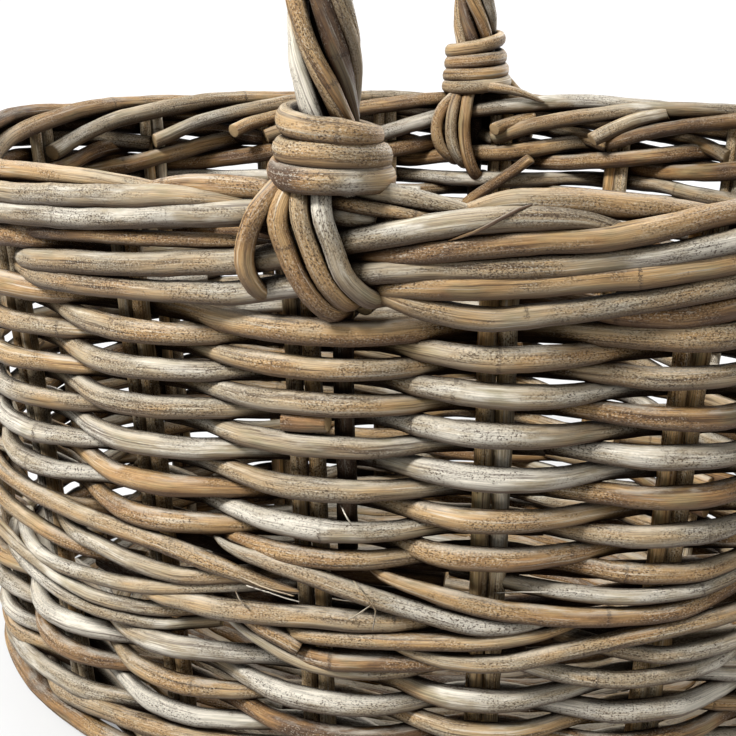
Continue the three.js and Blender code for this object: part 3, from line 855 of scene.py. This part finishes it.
# Canes of the border and the top wale in front, from the top down: shade, thickness, ends and places
FRONT_BORDER = (
    (STRAW + 0.1, 8, TIP_CUT, (-74, -4, 5), (-62, 0, 5.5), (-48, 2.4, 5.5), (-30, 2.6, 5.5), (-12, 1.8, 5),
     (0, 1, 4)),
    (BLEACHED + 0.14, 7.4, CUT_TIP, (0, 3.4, 4), (12, 3.2, 5), (24, 2.6, 5.5), (36, 0.6, 6), (48, -2, 6),
     (60, -5.5, 5)),
    (BEIGE, 5.6, CUT_TIP, (2, 1, 8), (20, -1.5, 9), (35, -4, 9), (46, -7, 7.5)),
    (BEIGE, 7.8, CUT, (-190, -6, 8), (-153, -1.5, 5.5), (-115, 0.4, 3), (-86, 0.4, 2.5), (-66, -2, 0),
     (-45, -7, -5), (-15, -14, -8.5), (12, -22, -9)),
    (BEIGE - 0.04, 8.4, CUT_TIP, (-281, -24, -3), (-259, -20.5, 6), (-222, -16.5, 9), (-175, -11.5, 9),
     (-130, -7.5, 8.8), (-75, -3.1, 8.6), (-48, -0.8, 8.4), (-34, -0.9, 8), (-20, -2.4, 7)),
    (BLEACHED + 0.1, 8.8, CUT, (-212, -24, -3), (-190, -20, 6), (-154, -17, 9), (-110, -13.2, 9.2),
     (-76, -10.6, 9.2), (-49, -7, 9.2), (-23, -4.5, 9), (0, -4, 8), (16, -5, 5)),
    (STRAW + 0.1, 5.8, TIPS, (-140, -24, 3), (-100, -19.5, 7), (-77, -17.6, 7.4), (-50, -16.2, 7),
     (-27, -15.6, 6.5), (-4, -16, 4)),
    (GREY + 0.08, 8.8, CUT_TIP, (-144, -36, -3), (-122, -32, 6), (-100, -29.5, 9), (-79, -27.4, 9.4),
     (-50, -24, 9.4), (-28, -21.4, 9.4), (-8, -17, 9.6), (13, -11.4, 10), (34, -6.8, 10), (50, -3.8, 9.6),
     (64, -3, 9.2), (80, -3.4, 8.6), (92, -6.5, 8), (102, -10, 6)),
    (STRAW - 0.06, 8.8, TIP_CUT, (36, -6, 4), (47, -1.6, 6), (58, 1.4, 6.5), (75, 1.8, 6), (92, 0.4, 5),
     (112, -3, 2), (140, -9, -4), (175, -18, -8.5), (205, -26, -9)),
    (STRAW + 0.08, 8.6, TIP_CUT, (0, -21, -2), (12, -18.6, 5), (34, -14.6, 9.4), (63, -11.3, 9.8),
     (95, -8.6, 9.4), (125, -3.8, 6.5), (150, -1.5, 1), (180, -6, -6), (215, -15, -9), (245, -23, -9)),
    (GREY + 0.02, 8.2, CUT, (-150, -40, -4), (-125, -38.4, 5), (-100, -37.2, 9), (-80, -36.1, 9.4),
     (-52, -34.3, 9.4), (-31, -33, 9.4), (-8, -28, 9.2), (13, -23.2, 9.2), (51, -19.9, 9.2), (86, -18, 9.2),
     (140, -10.5, 8.6), (190, -2.5, 4.5), (228, -2, -3.5), (266, -8, -8.4), (300, -16, -9), (330, -27, -9)),
    (STRAW - 0.04, 8.8, TIP_CUT, (4, -31, 0), (17, -28.6, 6), (34, -26.9, 9.6), (64, -25, 9.8),
     (96, -22.6, 9.6), (140, -17.5, 9.2), (185, -11.5, 9), (218, -6.5, 8), (258, -2.5, 4.5), (296, -2, -3.5),
     (334, -9, -8.4), (376, -21, -9)),
    (GREY + 0.12, 8.6, TIP_CUT, (2, -26, -4), (17, -29.6, 5), (35, -33.9, 9), (53, -36.6, 9.8),
     (74, -34.9, 9.8), (92, -32.2, 9.6), (130, -27, 9.2), (175, -20, 9), (225, -13.5, 9), (270, -7.6, 8),
     (327, -2.5, 4.5), (365, -2, -3.5), (403, -9, -8.4), (445, -21, -9)),
    (BROWN, 2.8, TIPS, (42, -9.6, 12), (49.5, -6.6, 13.7), (56.7, -2.8, 13.4), (62.6, 0.4, 11.6),
     (69, 1.8, 8.6)),
)

# Canes of the far side inside the wall, with the distance counted from the middle of the back
FAR_CANES = (
    (AMBER, 6.4, CUT, (5, -58, -12.5), (0, -54, -13), (-15, -43.6, -13.5), (-30, -32.6, -14)),
    (STRAW, 7.6, CUT, (112, -8, -7), (130, -12, -10.5), (143, -15.6, -14), (149, -17, -18.5)),
    (STRAW, 7.6, CUT, (-30, -11, -6), (-20, -13, -9.5), (-13, -15, -13), (-10.4, -15.7, -18)),
    (GREY, 8.2, CUT, (-106, -4, -6), (-90, -8.6, -10.5), (-77, -15, -13.5), (-70.5, -18.4, -18.5)),
    (BEIGE, 6.6, CUT_TIP, (-4, 6.4, -15), (-14, 5.6, -15.6), (-26, 3, -14), (-36, -0.5, -11)),
)


def add_border():
    """The canes of the border, shared among the pieces that stand for its rows."""
    rows = ("outer_lower", "outer_upper", "inner", "top_left", "top_right")
    for index, row in enumerate(rows):
        piece = Piece()
        for stake in range(FIRST_FREE_STAKE + index, LAST_FREE_STAKE + 1, len(rows)):
            size = uniform(0.93, 1.07)
            route = from_rim(BORDER_STROKE, stake_place(stake))
            tone = pick_tone(BORDER_MIX)
            add_wall_cane(piece, route, tone, BORDER_WIDTH * size, BORDER_HEIGHT * size, shade=0.78)
        for tone, *cane in FRONT_BORDER[index::len(rows)]:
            add_front_cane(piece, tone + 0.03, *cane, shade=0.87)
        for cane in FAR_CANES[index::len(rows)]:
            add_front_cane(piece, *cane, start=OVAL_LENGTH / 2)
        piece.build(f"border_strokes_{index + 1}", "border_cane", f"border_{row}")


# Handle

# Canes of a strand: turn round the bow beside the strand's own, and share of its thickness
WHOLE = ((0, 1),)
SPLIT = ((0.17, 0.66), (-0.17, 0.6))

# Twisted strands: shade, lift off the bow in millimetres, turn ahead of its even place, brightness and canes
STRANDS = (
    (STRAW - 0.02, 0, 0.04, 1, SPLIT),
    (BROWN + 0.04, -1.9, 0.02, 0.7, WHOLE),
    (BEIGE, 0.5, -0.44, 1, SPLIT),
    (GREY + 0.04, 0.3, -0.46, 0.9, WHOLE),
    (BLEACHED + 0.1, 0.6, 0.18, 1, WHOLE),
)


def hoop_point(y, height):
    """Point of the handle's middle line, which leans to the left above the rim."""
    lean = max(0, height - RIM_TOP) * math.tan(HANDLE_LEAN)
    return (-y / HALF_WIDTH * LEG_PLACE - lean, y, height)


def leg_point(side, height):
    return hoop_point(side * (HALF_WIDTH + FLARE * (height - RIM_TOP)), height)


def hoop_path(foot_height):
    """The middle line of the handle from the front leg over the arch to the back leg."""
    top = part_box("handle_bow")[1].z - HOOP_BELOW_TOP
    shoulder = RIM_TOP + LEG_HEIGHT
    shoulder_point = leg_point(-1, shoulder)
    corners = (
        shoulder_point,
        leg_point(-1, shoulder + ARCH_ROUNDNESS * (top - shoulder)),
        hoop_point(shoulder_point[1] * ARCH_ROUNDNESS, top),
        hoop_point(0, top),
    )
    points = []
    for step in np.linspace(0, 1, 8, endpoint=False):
        points.append(leg_point(-1, foot_height + (shoulder - foot_height) * step))
    for step in np.linspace(0, 1, 40):
        shares = ((1 - step) ** 3, 3 * step * (1 - step) ** 2, 3 * step * step * (1 - step), step ** 3)
        points.append(tuple(sum(share * at for share, at in zip(shares, axis)) for axis in zip(*corners)))
    mirrored = [hoop_point(-y, z) for x, y, z in reversed(points[:-1])]
    return smooth_path(points + mirrored, 2.6 * MM)


def add_bow():
    """The core of the handle, down into the wall at both ends, drawn dark as painted shade between the
    strands.
    """
    piece = Piece()
    add_cane(piece, hoop_path(RIM_TOP - LEG_DEPTH), ALONG_X, BOW_WIDTH, BOW_WIDTH, BROWN, shade=0.5)
    piece.build("bow_cane", "handle_cane", "handle_bow")


def add_strands():
    """The canes twisted round the bow, a little thicker and further out towards the back."""
    middle = hoop_path(RIM_TOP + STRAND_FOOT)
    tangent = directions(middle)
    outward = unit(np.cross(tangent, ALONG_X))
    sideways = np.cross(outward, tangent)
    along = lengths_along(middle)
    for strand, (tone, lift, ahead, shade, canes) in enumerate(STRANDS):
        piece = Piece()
        for aside, share in canes:
            turns = strand / len(STRANDS) - along / STRAND_PITCH
            turn = math.tau * turns + aside + ahead + FIRST_STRAND_TURN + 0.07 * wave(along, 160 * MM)
            radial = np.cos(turn)[:, None] * sideways + np.sin(turn)[:, None] * outward
            radius = STRAND_RADIUS + 0.35 * MM * wave(along, 120 * MM) + (1 - share) * 1.2 * MM + lift * MM
            points = middle + (radius * (1 + 0.06 * along / along[-1]))[:, None] * radial
            swell = 1 + 0.08 * along / along[-1]
            width, height = STRAND_WIDTH * 0.92 * share ** 0.5, STRAND_WIDTH * share
            cane_tone = tone + uniform(-0.05, 0.05)
            add_cane(piece, points, radial, width, height, cane_tone, shade=shade, swell=swell)
        piece.build(f"twisted_cane_{strand + 1}", "handle_cane", f"handle_strand_{strand + 1}")


# Collars

# Heights of the windings over the rim in millimetres, at each quarter turn from the lowest up
FRONT_WINDING = (5.5, 7.4, 8.8, 9.8, 12, 14.6, 16.4, 17.2, 19.6, 21.2, 24.2, 26, 27.6)
BACK_WINDING = (4.5, 5.2, 6.6, 8, 9.5, 11.2, 13, 14.6, 16.4, 18, 20, 22, 23.6, 24.6, 27.4, 31.4, 33)


def collar_path(side, handedness, quarter_heights, top_radius, spread, aside=0):
    """The middle line of a wound cane, its outward directions and how far it has turned.

    The foot of the winding is wider than its top by spread and lies aside from the leg along X.
    """
    turns = (len(quarter_heights) - 1) / 4
    turned = np.linspace(0, turns, round(40 * turns) + 1)
    smooth = smooth_path([(quarter / 4, height, 0) for quarter, height in enumerate(quarter_heights)], 0.5)
    heights = RIM_TOP + np.interp(turned, smooth[:, 0], smooth[:, 1]) * MM
    radius = top_radius + spread * (1 - turned / turns)
    angle = handedness * math.tau * turned + math.pi / 2
    outward = np.column_stack([np.cos(angle), np.sin(angle), np.zeros_like(angle)])
    middle = np.array([leg_point(side, height) for height in heights])
    middle[:, 0] += aside * (1 - turned / turns)
    return middle + radius[:, None] * outward, outward, turned


def add_front_collar():
    """The front winding, with its tucked and knobbed places and its dark and pale patches."""
    points, outward, turned = collar_path(-1, -1, FRONT_WINDING, 14 * MM, 4.4 * MM, -2.4 * MM)

    def patch(place, reach):
        return np.exp(-(((turned - place) / reach) ** 2))

    tucked = 1 - 0.42 * patch(2.2, 0.13) - 0.18 * patch(1.76, 0.1)
    knobbed = 1 + 0.1 * patch(0.3, 0.05) + 0.12 * patch(2.76, 0.08)
    tone = BEIGE + 0.04 - 0.3 * patch(0.4, 0.04) + 0.8 * patch(0.62, 0.1) + 0.25 * patch(0.28, 0.05)
    piece = Piece()
    add_cane(piece, points, outward, 6.6 * MM, 8.8 * MM, tone, swell=tucked * knobbed)
    piece.build("front_winding", "collar_cane", "front_collar")


def add_back_collar():
    points, outward, _ = collar_path(1, 1, BACK_WINDING, 13.8 * MM, 3.4 * MM)
    piece = Piece()
    add_cane(piece, points, outward, 6.4 * MM, 7.8 * MM, BEIGE + 0.04)
    piece.build("back_winding", "collar_cane", "back_collar")


# Ties

UNDER_COLLAR = 9
BELOW_COLLAR = 12
OVER_BORDER = 16.4
TUCKED_IN = 12.9

# Ties of a leg, outside and inside, as distances along the rim and heights over it, from the collar down
OUTER_TIES = (
    ((-11.6, 5), (-17.4, -3), (-21.4, -12), (-22.4, -22), (-20.4, -30)),
    ((-8.4, 5), (-10.6, -4), (-8.8, -14), (-4.2, -25), (3, -35)),
    ((-4.6, 6), (-3.6, -4), (-0.7, -13), (2.6, -22), (8, -31)),
    ((2.2, 6), (3.6, -4), (6.4, -13), (9.8, -22.5), (15.6, -30)),
)
INNER_TIES = (
    ((7.4, 4), (8.6, -8), (8.6, -20), (6, -32), (2, -42)),
    ((13, 3), (16.4, -8), (16.8, -18), (14.6, -27), (10, -35)),
    ((17, 0), (23.4, -7), (25.6, -15), (23.6, -25), (17, -33)),
)
OUTER_TONES = (STRAW + 0.06, STRAW + 0.02, STRAW + 0.1, BLEACHED + 0.14)
INNER_TONES = (STRAW + 0.04, GREY, BEIGE)


def add_tie(kind, number, middle, face, places, tone):
    """A short cane from under a collar down over the border, with its lower end tucked in behind a cane."""
    (top, top_height), (end, end_height) = places[0], places[-1]
    onward = end - places[-2][0]
    route = [
        (0.6 * top, top_height + 6, face * UNDER_COLLAR),
        (top, top_height, face * BELOW_COLLAR),
        *[(distance, height, face * OVER_BORDER) for distance, height in places[1:-1]],
        (end, end_height, face * TUCKED_IN),
        (end + 0.6 * onward, end_height - 3, 0),
    ]
    piece = Piece()
    add_wall_cane(piece, from_rim(route, middle), tone, TIE_WIDTH * 0.86, TIE_WIDTH)
    piece.build(f"{kind}_cane_{number}", "tie_cane", f"{kind}_{number}")


def add_ties():
    back = OVAL_LENGTH / 2
    for number, (places, tone) in enumerate(zip(OUTER_TIES, OUTER_TONES), 1):
        add_tie("front_outer_tie", number, 0, 1, places, tone)
        add_tie("back_outer_tie", number, back, 1, places, pick_tone(HANDLE_MIX))
    for number, (places, tone) in enumerate(zip(INNER_TIES, INNER_TONES), 1):
        add_tie("front_inner_tie", number, 0, -1, places, tone)
        add_tie("back_inner_tie", number, back, -1, places, tone)


# Camera, light and floor

WHITE = (1, 1, 1, 1)
LIT_HEIGHT = 0.2
FLOOR_HALF_SIZE = 12


def add_camera():
    """The photograph's view, over the front of the rim and a little from the right."""
    camera = bpy.data.cameras.new("camera")
    camera.sensor_width = 36
    camera.lens = 60.23
    holder = add_object("camera", camera)
    holder.location = (111.8 * MM, -547.5 * MM, RIM_TOP + 73.8 * MM)
    holder.rotation_euler = (math.pi / 2 - math.radians(18.33), 0, math.radians(14.26))
    bpy.context.scene.camera = holder


def add_lamp(name, place, size, power):
    """A round lamp that shines on the middle of the basket."""
    light = bpy.data.lights.new(name, "AREA")
    light.shape = "DISK"
    light.size = size
    light.energy = power
    lamp = add_object(name, light)
    lamp.location = place
    along_x, along_y, down = -place[0], -place[1], place[2] - LIT_HEIGHT
    lamp.rotation_euler = (math.atan2(math.hypot(along_x, along_y), down), 0, math.atan2(-along_x, along_y))


def seen_directly(graph):
    """1 for rays that show the background, straight or in a reflection."""
    path = graph.add("LightPath", {}).outputs
    either = graph.plus(graph.plus(path["Is Camera Ray"], path["Is Glossy Ray"]), path["Is Transmission Ray"])
    return graph.math("MINIMUM", either, 1)


def add_world():
    """A white background that gives only a little light."""
    world = bpy.data.worlds.new("studio")
    world.use_nodes = True
    bpy.context.scene.world = world
    graph = Graph(world.node_tree)
    soft = graph.add("Background", {"Color": WHITE, "Strength": 0.08})
    white = graph.add("Background", {"Color": WHITE})
    mixed = graph.add("MixShader", {0: seen_directly(graph), 1: soft.outputs[0], 2: white.outputs[0]})
    graph.add("OutputWorld", {"Surface": mixed.outputs[0]})


def floor_material():
    """White where it is seen directly, save for the shadow near the basket, and clear from below."""
    material, graph = new_material("floor")
    pale = graph.add("BsdfDiffuse", {"Color": (0.6, 0.6, 0.59, 1)})
    glow = graph.add("Emission", {"Color": WHITE, "Strength": 1.1})
    geometry = graph.add("NewGeometry", {}).outputs
    distance = graph.add("VectorMath", {0: geometry["Position"]}, operation="LENGTH").outputs["Value"]
    under = graph.between(distance, 0.12, 0.24, -0.5, 0)
    share = graph.plus(graph.between(distance, 0.3, 0.8, 0.66, 1), under)
    share = graph.times(seen_directly(graph), share)
    # Under the basket the floor glows faintly to all rays: a glowing patch that lights the base from below
    share = graph.math("MAXIMUM", share, graph.between(distance, 0.2, 0.26, 0.2, 0))
    mixed = graph.add("MixShader", {0: share, 1: pale.outputs[0], 2: glow.outputs[0]})
    clear = graph.add("BsdfTransparent", {})
    sided = graph.add("MixShader", {0: geometry["Backfacing"], 1: mixed.outputs[0], 2: clear.outputs[0]})
    graph.add("OutputMaterial", {"Surface": sided.outputs[0]})
    return material


def add_floor():
    mesh = bpy.data.meshes.new("floor")
    corners = FLOOR_HALF_SIZE * np.array([(-1, -1, 0), (1, -1, 0), (1, 1, 0), (-1, 1, 0)])
    mesh.from_pydata(corners.tolist(), [], [(0, 1, 2, 3)])
    mesh.materials.append(floor_material())
    floor = add_object("floor", mesh)


add_camera()
add_world()
add_floor()
add_lamp("key", (-0.8, -0.9, 1.4), 0.4, 44)
add_lamp("fill", (1.3, -1, 0.8), 1.2, 4)
add_lamp("top", (0.1, 0.35, 1.5), 0.6, 14)
add_lamp("back", (0.9, 1.5, 0.7), 1, 16)
add_stakes()
add_base()
add_foot_ring()
add_wale("foot_wale", rows=3, slope=0.1)
add_siding("lower_siding", rows=5, first_course=1)
add_wale("middle_wale", rows=6, slope=-0.16, first_stake=3, last_stake=15, front=FRONT_BAND,
         fibres=FRONT_FIBRES)
add_siding("upper_siding", rows=13, first_course=0, front=(BUTT_END,))
add_wale("top_wale", rows=3, slope=0.15, phase=1, last_stake=17)
add_border()
add_bow()
add_strands()
add_front_collar()
add_back_collar()
add_ties()

bpy.context.scene.view_settings.view_transform = "Standard"
